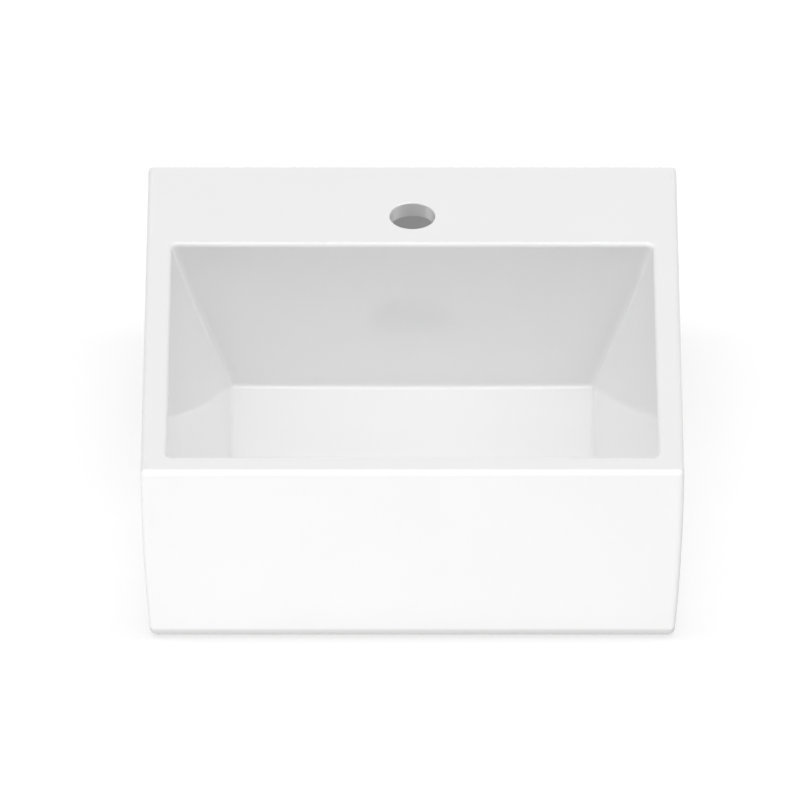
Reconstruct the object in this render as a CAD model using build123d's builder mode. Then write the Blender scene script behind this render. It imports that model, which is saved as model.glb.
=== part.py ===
from build123d import *
from math import atan2, cos, degrees, hypot, radians, sin
import os

os.makedirs("parts", exist_ok=True)

# Driving dimensions, in millimetres.
# The origin is where the top of the worktop meets the wall, half way across the basin.
# X runs to the right, Y runs into the wall and Z runs up.

# Outside of the china
basin_width = 410
basin_length = 410
basin_height = 160
rim_height = 25
front_reach = 200
outer_draft = 6
edge_radius = 4
mouth_radius = 3.5
foot_radius = 9
seat_edge_radius = 2
deck_thickness = 12
apron_wall = 10
return_wall = 10
apron_hollow_top = -8
apron_hollow_radius = 8

# Bowl
rear_deck = 107.5
side_rim = 19
front_rim = 20
bowl_depth = 127
back_inset = 10.5
front_inset = 24
side_inset = 46.3
side_bulge = 1.8
bowl_corner_radius = 5
bowl_floor_radius = 4
bowl_wall = 11
floor_fall = 2.2

# Tap hole and the hollow behind the bowl
tap_hole_diameter = 35
tap_hole_to_wall = 69.5
tap_hole_edge_radius = 1
back_web_thickness = 12
back_web_drop = 72
back_web_inset = 17
side_web_thickness = 12
side_web_rise = 45

# Waste hole, its boss and the overflow passage
waste_to_front = 162
waste_hole_diameter = 46
waste_recess_clearance = 1.2
boss_wall = 14
passage_roof = 7
passage_height = 8
passage_bed = 5
passage_width = 24
passage_side_wall = 8
passage_front_wall = 8
passage_front_gap = 9
overflow_hole_diameter = 22
overflow_below_deck = 38

# Overflow ring
overflow_ring_diameter = 31
overflow_ring_lip = 1.6
overflow_ring_bore = 18
overflow_ring_sleeve = 7
overflow_ring_clearance = 0.2

# Waste fitting, with the outside diameter of a 1 1/4 inch pipe thread
flange_diameter = 64
flange_thickness = 2.5
flange_edge_radius = 1
flange_seal_thickness = 1.5
waste_thread_diameter = 41.91
waste_thread_depth = 1.48
waste_thread_runout = 1
waste_bore = 36
waste_length = 76
throat_diameter = 34
throat_length = 3
mouth_diameter = 44
slot_width = 9
slot_clearance = 2
slot_count = 4
thread_clearance = 0.05
seal_clearance = 0.3
boss_seal_thickness = 4
boss_seal_diameter = 62
boss_seal_nose = 3
boss_seal_nose_taper = 0.5
slip_washer_thickness = 2
slip_washer_diameter = 60
back_nut_across_flats = 54
back_nut_thickness = 9
back_nut_chamfer = 1.5

# Click cartridge, hung in the spider of the waste
spider_drop = 34
spider_thickness = 8
spider_arm_width = 4
spider_arm_count = 3
spider_hub_wall = 3
cartridge_diameter = 20
cartridge_length = 34
cartridge_wall = 2
cartridge_cap = 3
cartridge_collar = 2
cartridge_above_spider = 20
running_clearance = 0.05
plug_travel = 8
travel_margin = 0.5
plunger_rod_diameter = 8
plunger_head_thickness = 4
plunger_tail_diameter = 7
plunger_tail_length = 5
plunger_reach = 7
ratchet_gap = 0.1
ratchet_thickness = 3.4
ratchet_diameter = 13.6
ratchet_rib_height = 1
ratchet_rib_width = 2.5
ratchet_rib_count = 8
spring_wire = 1
spring_turns = 5
spring_diameter = 11.5
spring_gap = 0.1
drain_hole_diameter = 4

# Plug
plug_diameter = 40.6
plug_edge = 2
plug_sink = 1
plug_seal_lip = 1
plug_seal_lip_diameter = 30
plug_dome = 1.2
plug_step_diameter = 28
plug_seal_thickness = 3
plug_seal_gap = 0.32
plug_boss_diameter = 12
stem_diameter = 6
stem_in_plunger = 9
stem_in_plug = 7
stem_hole_spare = 1

# Wall fixings
stud_spacing = 200
stud_below_worktop = 42
stud_diameter = 10
stud_in_wall = 60
stud_point = 8
stud_shank_diameter = 9.03
stud_free_end = 6
sleeve_hole_diameter = 20
sleeve_diameter = 19.4
sleeve_bore = 10.6
sleeve_flange_diameter = 34
sleeve_flange_thickness = 4
sleeve_wall_gap = 1
stud_washer_diameter = 28
stud_washer_thickness = 2
stud_nut_across_flats = 17
stud_nut_thickness = 8
stud_nut_chamfer = 1

# Levels and places worked out from the dimensions above
deck_z = rim_height
foot_z = deck_z - basin_height
front_y = -basin_length
worktop_edge_y = front_y + front_reach
floor_z = deck_z - bowl_depth
bowl_back_y = -rear_deck
bowl_front_y = front_y + front_rim
floor_back_y = bowl_back_y - back_inset
floor_front_y = bowl_front_y + front_inset
bowl_half_width = basin_width / 2 - side_rim
floor_half_width = bowl_half_width - side_inset
waste_y = front_y + waste_to_front
boss_thickness = passage_roof + passage_height + passage_bed
recess_depth = flange_seal_thickness + flange_thickness
recess_radius = flange_diameter / 2 + waste_recess_clearance
floor_reach = hypot(floor_half_width, max(floor_back_y - waste_y, waste_y - floor_front_y))
floor_low_z = floor_z - floor_fall
seat_z = floor_low_z - recess_depth
boss_z = seat_z - boss_thickness
passage_top_z = seat_z - passage_roof
passage_low_z = passage_top_z - passage_height
cavity_top_z = deck_z - deck_thickness

# The lines of the bowl's front and back walls, as the distance that they lean in per millimetre of depth
front_lean = front_inset / bowl_depth
back_lean = back_inset / bowl_depth
front_angle = degrees(atan2(front_inset, bowl_depth))


def front_wall_y(z):
    """Where the inside of the bowl's front wall stands at a height."""
    return bowl_front_y + front_lean * (deck_z - z)


def block_across(inset):
    """The basin's outside cut from side to side: upright at the deck, curving in towards the foot."""
    half_width = basin_width / 2 - inset
    with BuildSketch(Plane.XZ) as section:
        with BuildLine():
            Line((0, deck_z), (half_width, deck_z))
            side = TangentArc((half_width, deck_z), (half_width - outer_draft, foot_z), tangent=(0, -1))
            Line(side @ 1, (0, foot_z))
            mirror(about=Plane.YZ)
        make_face()
    return section.sketch


def block_along(inset, back_y):
    """The basin's outside cut from front to back: only the front curves in towards the foot."""
    with BuildSketch(Plane.YZ) as section:
        with BuildLine():
            front = TangentArc(
                (front_y + inset, deck_z), (front_y + inset + outer_draft, foot_z), tangent=(0, -1)
            )
            Polyline(front @ 1, (back_y, foot_z), (back_y, deck_z), front @ 0)
        make_face()
    return section.sketch


def bowl_across(bottom_z, wall):
    """The bowl cut from side to side, down to a level: bulging side walls, grown by a wall."""
    with BuildSketch(Plane.XZ) as section:
        with BuildLine():
            Line((0, deck_z), (bowl_half_width, deck_z))
            to_floor = SagittaArc(
                (bowl_half_width, deck_z), (floor_half_width, floor_z), side_bulge, mode=Mode.PRIVATE
            )
            turn = (to_floor % 0).get_angle(to_floor % 1) * (deck_z - bottom_z) / bowl_depth
            side = JernArc(to_floor @ 0, to_floor % 0, to_floor.radius, -turn)
            Line(side @ 1, (0, (side @ 1).Y))
            mirror(about=Plane.YZ)
        make_face()
        if wall:
            offset(amount=wall, kind=Kind.INTERSECTION)
    return section.sketch


def bowl_along(bottom_z, wall):
    """The bowl cut from front to back, down to a level: straight leaning walls, grown by a wall."""
    depth = deck_z - bottom_z
    with BuildSketch(Plane.YZ) as section:
        with BuildLine():
            Polyline(
                (bowl_front_y, deck_z),
                (bowl_front_y + front_lean * depth, bottom_z),
                (bowl_back_y - back_lean * depth, bottom_z),
                (bowl_back_y, deck_z),
                close=True,
            )
        make_face()
        if wall:
            offset(amount=wall, kind=Kind.INTERSECTION)
    return section.sketch


# The outer block of the whole basin
across = block_across(0)
along = block_along(0, 0)
with BuildPart() as outer_block:
    extrude(across, amount=basin_length)
    extrude(along, amount=basin_width, both=True, mode=Mode.INTERSECT)
    corners = outer_block.edges().filter_by(lambda edge: edge.bounding_box().size.Z > basin_height / 2)
    fillet(corners + outer_block.faces().sort_by(Axis.Z)[-1].edges(), radius=edge_radius)
    fillet(outer_block.faces().sort_by(Axis.Z)[0].edges(), radius=foot_radius)

# What lies under the bowl's floor: it falls from the corners to the recess of the waste.
with BuildPart() as under_floor:
    with BuildSketch(Plane.XZ.offset(-waste_y)):
        with BuildLine():
            Polyline(
                (0, floor_low_z),
                (recess_radius, floor_low_z),
                (floor_reach, floor_z),
                (2 * floor_reach, floor_z + floor_fall * floor_reach / (floor_reach - recess_radius)),
                (2 * floor_reach, boss_z),
                (0, boss_z),
                close=True,
            )
        make_face()
    revolve(axis=Axis((0, waste_y, 0), (0, 0, 1)))
    with Locations((0, waste_y, floor_low_z)):
        Hole(radius=recess_radius, depth=recess_depth)

# The space inside the bowl
across = bowl_across(boss_z, 0)
along = bowl_along(boss_z, 0)
with BuildPart() as bowl_space:
    extrude(across, amount=basin_length)
    extrude(along, amount=basin_width, both=True, mode=Mode.INTERSECT)
    corners = bowl_space.edges().filter_by(lambda edge: edge.bounding_box().size.Z > bowl_depth / 2)
    fillet(corners, radius=bowl_corner_radius)
    add(under_floor.part, mode=Mode.SUBTRACT)
    sloping_floor = bowl_space.faces().filter_by(GeomType.CONE).sort_by(SortBy.AREA)[-1]
    fillet(sloping_floor.outer_wire().edges(), radius=bowl_floor_radius)

# The bowl's shell round that space, up to the deck
across = bowl_across(floor_low_z, bowl_wall)
along = bowl_along(floor_low_z, bowl_wall)
with BuildPart() as bowl_shell:
    extrude(across, amount=basin_length)
    extrude(along, amount=basin_width, both=True, mode=Mode.INTERSECT)
    split(bisect_by=Plane.XY.offset(deck_z), keep=Keep.BOTTOM)
    corners = bowl_shell.edges().filter_by(lambda edge: edge.bounding_box().size.Z > bowl_depth / 2)
    fillet(corners, radius=bowl_corner_radius + bowl_wall)
    under_side = bowl_shell.faces().sort_by(Axis.Z)[0]
    fillet(under_side.edges(), radius=bowl_floor_radius + bowl_wall / 2)

# The hollow between the apron and the bowl, open at the foot
across = block_across(apron_wall)
along = block_along(apron_wall, worktop_edge_y - return_wall)
with BuildPart() as apron_hollow:
    extrude(across, amount=basin_length)
    extrude(along, amount=basin_width, both=True, mode=Mode.INTERSECT)
    split(bisect_by=Plane.XY.offset(apron_hollow_top), keep=Keep.BOTTOM)
    corners = apron_hollow.edges().filter_by(
        lambda edge: edge.bounding_box().size.Z > (apron_hollow_top - foot_z) / 2
    )
    fillet(corners, radius=apron_hollow_radius)
    # Under the bowl it runs on to the worktop's front edge, so the wall there is two side pieces.
    with Locations((0, worktop_edge_y, foot_z)):
        Box(
            2 * floor_half_width,
            return_wall + apron_hollow_radius,
            floor_low_z - foot_z,
            align=(Align.CENTER, Align.MAX, Align.MIN),
        )
    add(bowl_shell.part, mode=Mode.SUBTRACT)

# The overflow passage: down between the bowl's front wall and the apron, then back to the waste hole
overflow_z = deck_z - overflow_below_deck
passage_end_z = overflow_z + passage_width / 2 + 1
leg_inner = passage_front_wall / cos(radians(front_angle))
leg_outer = (passage_front_wall + passage_front_gap) / cos(radians(front_angle))
bore_back_y = waste_y - waste_hole_diameter / 4
with BuildPart() as overflow_passage:
    with BuildSketch(Plane.YZ):
        with BuildLine():
            Polyline(
                (bore_back_y, passage_top_z),
                (front_wall_y(passage_top_z) - leg_inner, passage_top_z),
                (front_wall_y(passage_end_z) - leg_inner, passage_end_z),
                (front_wall_y(passage_end_z) - leg_outer, passage_end_z),
                (front_wall_y(passage_low_z) - leg_outer, passage_low_z),
                (bore_back_y, passage_low_z),
                close=True,
            )
        make_face()
    extrude(amount=passage_width / 2, both=True)

# The ceramic basin, cast in one piece
back_web_half_width = basin_width / 2 - back_web_inset
cavity_half_width = back_web_half_width - side_web_thickness
back_web_foot_z = -back_web_drop
overflow_plane = Plane(
    origin=(0, front_wall_y(overflow_z), overflow_z),
    x_dir=(1, 0, 0),
    z_dir=(0, cos(radians(front_angle)), sin(radians(front_angle))),
)
with BuildPart() as basin_body:
    add(outer_block.part)
    # Behind the worktop's front edge only the rim is left, and it rests on the worktop.
    with Locations((0, 0, 0)):
        Box(
            basin_width + 1,
            basin_length - front_reach,
            basin_height,
            align=(Align.CENTER, Align.MAX, Align.MAX),
            mode=Mode.SUBTRACT,
        )
    seat = basin_body.faces().filter_by(Axis.Z).filter_by_position(Axis.Z, -0.5, 0.5)
    seat_sides = seat.edges().filter_by(Axis.Y).sort_by(Axis.X)
    fillet([seat_sides[0], seat_sides[-1]], radius=seat_edge_radius)

    add(apron_hollow.part, mode=Mode.SUBTRACT)
    add(bowl_shell.part)
    # The rib round the overflow passage and the boss round the waste hole
    with Locations((0, waste_y, boss_z)):
        Box(
            passage_width + 2 * passage_side_wall,
            waste_y - front_y - apron_wall,
            apron_hollow_top - boss_z,
            align=(Align.CENTER, Align.MAX, Align.MIN),
        )
        Cylinder(
            waste_hole_diameter / 2 + boss_wall,
            floor_low_z - boss_z,
            align=(Align.CENTER, Align.CENTER, Align.MIN),
        )
    # The hollow under the rear deck, with a web at the wall and a web down each side
    with BuildSketch(Plane.YZ):
        with BuildLine():
            Polyline(
                (0, 0),
                (0, back_web_foot_z),
                (-back_web_thickness, back_web_foot_z),
                (bowl_back_y + bowl_wall, back_web_foot_z + side_web_rise),
                (floor_back_y, back_web_foot_z + side_web_rise),
                (floor_back_y, 0),
                close=True,
            )
        make_face()
    extrude(amount=back_web_half_width, both=True)
    with BuildSketch(Plane.XY.offset(cavity_top_z)):
        with Locations((0, -back_web_thickness)):
            Rectangle(
                2 * cavity_half_width,
                -floor_back_y - back_web_thickness,
                align=(Align.CENTER, Align.MAX),
            )
    extrude(amount=-(basin_height + cavity_top_z), mode=Mode.SUBTRACT)
    add(bowl_shell.part)
    add(bowl_space.part, mode=Mode.SUBTRACT)
    with Locations((0, waste_y, seat_z)):
        Hole(radius=waste_hole_diameter / 2, depth=boss_thickness)
    add(overflow_passage.part, mode=Mode.SUBTRACT)
    with Locations(overflow_plane):
        Hole(radius=overflow_hole_diameter / 2, depth=passage_front_wall + passage_front_gap / 2)
    with Locations((0, -tap_hole_to_wall, deck_z)):
        Hole(radius=tap_hole_diameter / 2, depth=deck_thickness)
    with Locations(Plane(origin=(0, 0, -stud_below_worktop), x_dir=(1, 0, 0), z_dir=(0, 1, 0))):
        with GridLocations(stud_spacing, 1, 2, 1):
            Hole(radius=sleeve_hole_diameter / 2, depth=back_web_thickness)
    # Rounded edges of the deck, the bowl's mouth and the tap hole
    deck = basin_body.faces().sort_by(Axis.Z)[-1]
    openings = deck.inner_wires().sort_by(SortBy.LENGTH)
    fillet(openings[0].edges(), radius=tap_hole_edge_radius)
    deck = basin_body.faces().sort_by(Axis.Z)[-1]
    mouth = deck.inner_wires().sort_by(SortBy.LENGTH)[-1]
    fillet(mouth.edges(), radius=mouth_radius)
basin_body.part.label = "basin_body"
export_step(basin_body.part, "parts/basin_body.step")

# Overflow ring, pushed into the hole in the bowl's front wall
ring_hole_radius = overflow_hole_diameter / 2 - overflow_ring_clearance
ring_half_plane = Plane(
    origin=overflow_plane.origin, x_dir=(1, 0, 0), z_dir=-overflow_plane.y_dir
)
with BuildPart() as overflow_ring:
    with BuildSketch(ring_half_plane):
        with BuildLine():
            Polyline(
                (overflow_ring_bore / 2, -overflow_ring_sleeve),
                (ring_hole_radius, -overflow_ring_sleeve),
                (ring_hole_radius, 0),
                (overflow_ring_diameter / 2, 0),
                (overflow_ring_diameter / 2, overflow_ring_lip),
                (overflow_ring_bore / 2, overflow_ring_lip),
                close=True,
            )
        make_face()
    overflow_axis = Axis(overflow_plane.origin, overflow_plane.z_dir)
    revolve(axis=overflow_axis)
    lip = overflow_ring.faces().sort_by(overflow_axis)[-1]
    fillet(lip.edges(), radius=overflow_ring_lip / 2)
overflow_ring.part.label = "overflow_ring"
export_step(overflow_ring.part, "parts/overflow_ring.step")

# The waste fitting turns about one upright axis, and its pieces are drawn in a plane through it.
half_plane = Plane.XZ.offset(-waste_y)
waste_axis = Axis((0, waste_y, 0), (0, 0, 1))
flange_low_z = seat_z + flange_seal_thickness
flange_top_z = flange_low_z + flange_thickness
tail_z = flange_low_z - waste_length
thread_radius = waste_thread_diameter / 2
mouth_radius_top = mouth_diameter / 2
throat_z = flange_top_z - (mouth_diameter - throat_diameter) / 2
spider_z = flange_low_z - spider_drop
hub_hole_radius = cartridge_diameter / 2 + thread_clearance
slot_height = passage_height + 2 * slot_clearance
slot_z = (passage_top_z + passage_low_z) / 2
nut_face_z = boss_z - boss_seal_thickness - slip_washer_thickness
nut_low_z = nut_face_z - back_nut_thickness
# Inside the nut both threads are drawn half way down their depth, where they mesh.
meshed_radius = thread_radius - waste_thread_depth / 2

# Soft washer between the flange and the china
with BuildPart() as flange_seal:
    with BuildSketch(Plane.XY.offset(seat_z)):
        with Locations((0, waste_y)):
            Circle(flange_diameter / 2 - flange_edge_radius)
            Circle(waste_hole_diameter / 2, mode=Mode.SUBTRACT)
    extrude(amount=flange_seal_thickness)
flange_seal.part.label = "flange_seal"
export_step(flange_seal.part, "parts/flange_seal.step")

# Waste body: a flange with a conical mouth, and a threaded tail with slots for the overflow water
with BuildPart() as waste_body:
    with BuildSketch(half_plane):
        with BuildLine():
            Polyline(
                (thread_radius, tail_z),
                (thread_radius, nut_low_z - waste_thread_runout),
                (meshed_radius, nut_low_z - waste_thread_runout),
                (meshed_radius, nut_face_z + waste_thread_runout),
                (thread_radius, nut_face_z + waste_thread_runout),
                (thread_radius, flange_low_z),
                (flange_diameter / 2, flange_low_z),
                (flange_diameter / 2, flange_top_z),
                (mouth_radius_top, flange_top_z),
                (throat_diameter / 2, throat_z),
                (throat_diameter / 2, throat_z - throat_length),
                (waste_bore / 2, throat_z - throat_length),
                (waste_bore / 2, tail_z),
                close=True,
            )
        make_face()
    revolve(axis=waste_axis)
    rim = waste_body.faces().sort_by(Axis.Z)[-1].outer_wire()
    fillet(rim.edges(), radius=flange_edge_radius)
    with Locations((0, waste_y, slot_z)):
        with PolarLocations((waste_bore + waste_thread_diameter) / 4, slot_count, start_angle=-90):
            Box(waste_thread_diameter - waste_bore, slot_width, slot_height, mode=Mode.SUBTRACT)
    # The spider that carries the cartridge
    with Locations((0, waste_y, spider_z)):
        Cylinder(
            hub_hole_radius + spider_hub_wall,
            spider_thickness,
            align=(Align.CENTER, Align.CENTER, Align.MAX),
        )
        with PolarLocations(0, spider_arm_count, start_angle=90):
            Box(
                waste_bore / 2 + thread_clearance,
                spider_arm_width,
                spider_thickness,
                align=(Align.MIN, Align.CENTER, Align.MAX),
            )
        Hole(radius=hub_hole_radius, depth=spider_thickness)
waste_body.part.label = "waste_body"
export_step(waste_body.part, "parts/waste_body.step")

# Rubber washer under the boss, with a nose that centres the tail in the china's hole
ring_bore_radius = thread_radius + thread_clearance
with BuildPart() as boss_seal:
    with BuildSketch(half_plane):
        with BuildLine():
            nose_radius = waste_hole_diameter / 2 - seal_clearance
            Polyline(
                (ring_bore_radius, boss_z - boss_seal_thickness),
                (boss_seal_diameter / 2, boss_z - boss_seal_thickness),
                (boss_seal_diameter / 2, boss_z),
                (nose_radius, boss_z),
                (nose_radius - boss_seal_nose_taper, boss_z + boss_seal_nose),
                (ring_bore_radius, boss_z + boss_seal_nose),
                close=True,
            )
        make_face()
    revolve(axis=waste_axis)
boss_seal.part.label = "boss_seal"
export_step(boss_seal.part, "parts/boss_seal.step")

# Hard washer that lets the nut turn without dragging the rubber
with BuildPart() as slip_washer:
    with BuildSketch(Plane.XY.offset(nut_face_z)):
        with Locations((0, waste_y)):
            Circle(slip_washer_diameter / 2)
            Circle(ring_bore_radius, mode=Mode.SUBTRACT)
    extrude(amount=slip_washer_thickness)
slip_washer.part.label = "slip_washer"
export_step(slip_washer.part, "parts/slip_washer.step")

# Back nut that clamps the waste to the boss
with BuildPart() as back_nut:
    with BuildSketch(Plane.XY.offset(nut_face_z)):
        with Locations((0, waste_y)):
            RegularPolygon(back_nut_across_flats / 2, 6, major_radius=False)
            Circle(meshed_radius + thread_clearance, mode=Mode.SUBTRACT)
    extrude(amount=-back_nut_thickness)
    hexagon = back_nut.edges().filter_by(Axis.Z)
    chamfer(hexagon, length=back_nut_chamfer)
back_nut.part.label = "back_nut"
export_step(back_nut.part, "parts/back_nut.step")

# Click cartridge: a cup screwed down on the spider, and its screwed cap
cartridge_radius = cartridge_diameter / 2
cartridge_bore_radius = cartridge_radius - cartridge_wall
cartridge_top_z = spider_z + cartridge_above_spider
cartridge_foot_z = cartridge_top_z - cartridge_length
cartridge_cap_z = cartridge_top_z - cartridge_cap
rod_hole_radius = plunger_rod_diameter / 2 + running_clearance
with BuildPart() as cartridge_cup:
    with BuildSketch(half_plane):
        with BuildLine():
            Polyline(
                (drain_hole_diameter / 2, cartridge_foot_z),
                (cartridge_radius, cartridge_foot_z),
                (cartridge_radius, spider_z),
                (hub_hole_radius + spider_hub_wall, spider_z),
                (hub_hole_radius + spider_hub_wall, spider_z + cartridge_collar),
                (cartridge_radius, spider_z + cartridge_collar),
                (cartridge_radius, cartridge_top_z),
                (cartridge_bore_radius, cartridge_top_z),
                (cartridge_bore_radius, cartridge_foot_z + cartridge_cap),
                (drain_hole_diameter / 2, cartridge_foot_z + cartridge_cap),
                close=True,
            )
        make_face()
    revolve(axis=waste_axis)
cartridge_cup.part.label = "cartridge_cup"
export_step(cartridge_cup.part, "parts/cartridge_cup.step")

with BuildPart() as cartridge_lid:
    with BuildSketch(Plane.XY.offset(cartridge_cap_z)):
        with Locations((0, waste_y)):
            Circle(cartridge_bore_radius - thread_clearance)
            Circle(rod_hole_radius, mode=Mode.SUBTRACT)
    extrude(amount=cartridge_cap)
cartridge_lid.part.label = "cartridge_lid"
export_step(cartridge_lid.part, "parts/cartridge_lid.step")

# Plunger: its head stops under the cartridge's lid when the plug is up.
head_top_z = cartridge_cap_z - travel_margin - plug_travel
head_low_z = head_top_z - plunger_head_thickness
plunger_top_z = cartridge_top_z + plunger_reach
stem_hole_radius = stem_diameter / 2 + thread_clearance
stem_low_z = plunger_top_z - stem_in_plunger
with BuildPart() as plunger:
    with BuildSketch(half_plane):
        with BuildLine():
            Polyline(
                (0, head_low_z - plunger_tail_length),
                (plunger_tail_diameter / 2, head_low_z - plunger_tail_length),
                (plunger_tail_diameter / 2, head_low_z),
                (cartridge_bore_radius - running_clearance, head_low_z),
                (cartridge_bore_radius - running_clearance, head_top_z),
                (plunger_rod_diameter / 2, head_top_z),
                (plunger_rod_diameter / 2, plunger_top_z),
                (stem_hole_radius, plunger_top_z),
                (stem_hole_radius, stem_low_z - stem_hole_spare),
                (0, stem_low_z - stem_hole_spare),
                close=True,
            )
        make_face()
    revolve(axis=waste_axis)
plunger.part.label = "plunger"
export_step(plunger.part, "parts/plunger.step")

# Ratchet ring that turns one step on the plunger's tail at each click
ratchet_top_z = head_low_z - ratchet_gap
ratchet_low_z = ratchet_top_z - ratchet_thickness
with BuildPart() as ratchet_ring:
    with BuildSketch(Plane.XY.offset(ratchet_top_z)):
        with Locations((0, waste_y)):
            Circle(ratchet_diameter / 2)
            with PolarLocations(ratchet_diameter / 2, ratchet_rib_count):
                Rectangle(2 * ratchet_rib_height, ratchet_rib_width)
            Circle(plunger_tail_diameter / 2 + running_clearance, mode=Mode.SUBTRACT)
    extrude(amount=-ratchet_thickness)
ratchet_ring.part.label = "ratchet_ring"
export_step(ratchet_ring.part, "parts/ratchet_ring.step")

# Spring that lifts the ratchet ring, the plunger and the plug
spring_foot_z = cartridge_foot_z + cartridge_cap + spring_gap + spring_wire / 2
spring_height = ratchet_low_z - spring_gap - spring_wire / 2 - spring_foot_z
with BuildPart() as cartridge_spring:
    with BuildLine():
        coil = Helix(
            pitch=spring_height / spring_turns,
            height=spring_height,
            radius=spring_diameter / 2,
            center=(0, waste_y, spring_foot_z),
        )
    with BuildSketch(Plane(origin=coil @ 0, z_dir=coil % 0)):
        Circle(spring_wire / 2)
    sweep(is_frenet=True)
cartridge_spring.part.label = "cartridge_spring"
export_step(cartridge_spring.part, "parts/cartridge_spring.step")

# Plug: a domed disc over a step that carries the seal, and a boss that meets the plunger
plug_radius = plug_diameter / 2
disc_low_z = flange_top_z - plug_sink
disc_edge_z = disc_low_z + plug_edge
seal_low_z = disc_low_z - plug_seal_thickness
step_radius = plug_step_diameter / 2
lip_low_z = seal_low_z - plug_seal_lip
plug_hole_z = plunger_top_z + stem_in_plug + stem_hole_spare
with BuildPart() as plug_cap:
    with BuildSketch(half_plane):
        with BuildLine():
            dome = TangentArc((0, disc_edge_z + plug_dome), (plug_radius, disc_edge_z), tangent=(1, 0))
            Polyline(
                dome @ 1,
                (plug_radius, disc_low_z),
                (step_radius, disc_low_z),
                (step_radius, seal_low_z),
                (plug_seal_lip_diameter / 2, seal_low_z),
                (plug_seal_lip_diameter / 2, lip_low_z),
                (plug_boss_diameter / 2, lip_low_z),
                (plug_boss_diameter / 2, plunger_top_z),
                (stem_hole_radius, plunger_top_z),
                (stem_hole_radius, plug_hole_z),
                (0, plug_hole_z),
                dome @ 0,
            )
        make_face()
    revolve(axis=waste_axis)
plug_cap.part.label = "plug_cap"
export_step(plug_cap.part, "parts/plug_cap.step")

# Stem: the threaded stud that joins the plug to the plunger and sets its height
with BuildPart() as plug_stem:
    with BuildSketch(Plane.XY.offset(stem_low_z)):
        with Locations((0, waste_y)):
            Circle(stem_diameter / 2)
    extrude(amount=stem_in_plunger + stem_in_plug)
plug_stem.part.label = "plug_stem"
export_step(plug_stem.part, "parts/plug_stem.step")

# Seal that closes on the conical mouth of the waste
seal_inner_radius = step_radius + thread_clearance
cone_gap = plug_seal_gap / cos(radians(45))
seal_outer_radius = plug_radius - seal_clearance
with BuildPart() as plug_seal:
    with BuildSketch(half_plane):
        with BuildLine():
            low_radius = mouth_radius_top - (flange_top_z - seal_low_z) - cone_gap
            shoulder_z = seal_low_z + seal_outer_radius - low_radius
            Polyline(
                (seal_inner_radius, seal_low_z),
                (low_radius, seal_low_z),
                (seal_outer_radius, shoulder_z),
                (seal_outer_radius, disc_low_z),
                (seal_inner_radius, disc_low_z),
                close=True,
            )
        make_face()
    revolve(axis=waste_axis)
plug_seal.part.label = "plug_seal"
export_step(plug_seal.part, "parts/plug_seal.step")

# Wall fixings: two pointed studs, each with a flanged sleeve, a washer and a nut.
# A stud's coarse pointed thread starts at the wall's face. The shank in front of it ends in the thread
# for the nut, which is drawn half way down its depth, where the nut's thread meshes.
stud_washer_y = -back_web_thickness - sleeve_flange_thickness
stud_nut_y = stud_washer_y - stud_washer_thickness
stud_end_y = stud_nut_y - stud_nut_thickness - stud_free_end
stud_radius = stud_diameter / 2
stud_shank_radius = stud_shank_diameter / 2
stud_x = stud_spacing / 2
with BuildPart() as wall_studs:
    with BuildSketch(Plane.XY.offset(-stud_below_worktop)):
        with BuildLine():
            Polyline(
                (stud_x, stud_end_y),
                (stud_x + stud_shank_radius, stud_end_y),
                (stud_x + stud_shank_radius, 0),
                (stud_x + stud_radius, 0),
                (stud_x + stud_radius, stud_in_wall - stud_point),
                (stud_x, stud_in_wall),
                close=True,
            )
        make_face()
    revolve(axis=Axis((stud_x, 0, -stud_below_worktop), (0, 1, 0)))
    mirror(about=Plane.YZ)
wall_studs.part.label = "wall_studs"
export_step(wall_studs.part, "parts/wall_studs.step")

with BuildPart() as stud_sleeves:
    with BuildSketch(Plane.XZ.offset(back_web_thickness)):
        with Locations((0, -stud_below_worktop)):
            with GridLocations(stud_spacing, 1, 2, 1):
                Circle(sleeve_flange_diameter / 2)
                Circle(sleeve_bore / 2, mode=Mode.SUBTRACT)
    extrude(amount=sleeve_flange_thickness)
    with BuildSketch(Plane.XZ.offset(back_web_thickness)):
        with Locations((0, -stud_below_worktop)):
            with GridLocations(stud_spacing, 1, 2, 1):
                Circle(sleeve_diameter / 2)
                Circle(sleeve_bore / 2, mode=Mode.SUBTRACT)
    extrude(amount=-(back_web_thickness - sleeve_wall_gap))
stud_sleeves.part.label = "stud_sleeves"
export_step(stud_sleeves.part, "parts/stud_sleeves.step")

with BuildPart() as stud_washers:
    with BuildSketch(Plane.XZ.offset(-stud_washer_y)):
        with Locations((0, -stud_below_worktop)):
            with GridLocations(stud_spacing, 1, 2, 1):
                Circle(stud_washer_diameter / 2)
                Circle(sleeve_bore / 2, mode=Mode.SUBTRACT)
    extrude(amount=stud_washer_thickness)
stud_washers.part.label = "stud_washers"
export_step(stud_washers.part, "parts/stud_washers.step")

with BuildPart() as stud_nuts:
    with BuildSketch(Plane.XZ.offset(-stud_nut_y)):
        with Locations((0, -stud_below_worktop)):
            with GridLocations(stud_spacing, 1, 2, 1):
                RegularPolygon(stud_nut_across_flats / 2, 6, major_radius=False)
                Circle(stud_shank_radius + thread_clearance, mode=Mode.SUBTRACT)
    extrude(amount=stud_nut_thickness)
    chamfer(stud_nuts.edges().filter_by(Axis.Y), length=stud_nut_chamfer)
stud_nuts.part.label = "stud_nuts"
export_step(stud_nuts.part, "parts/stud_nuts.step")
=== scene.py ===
import math

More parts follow.
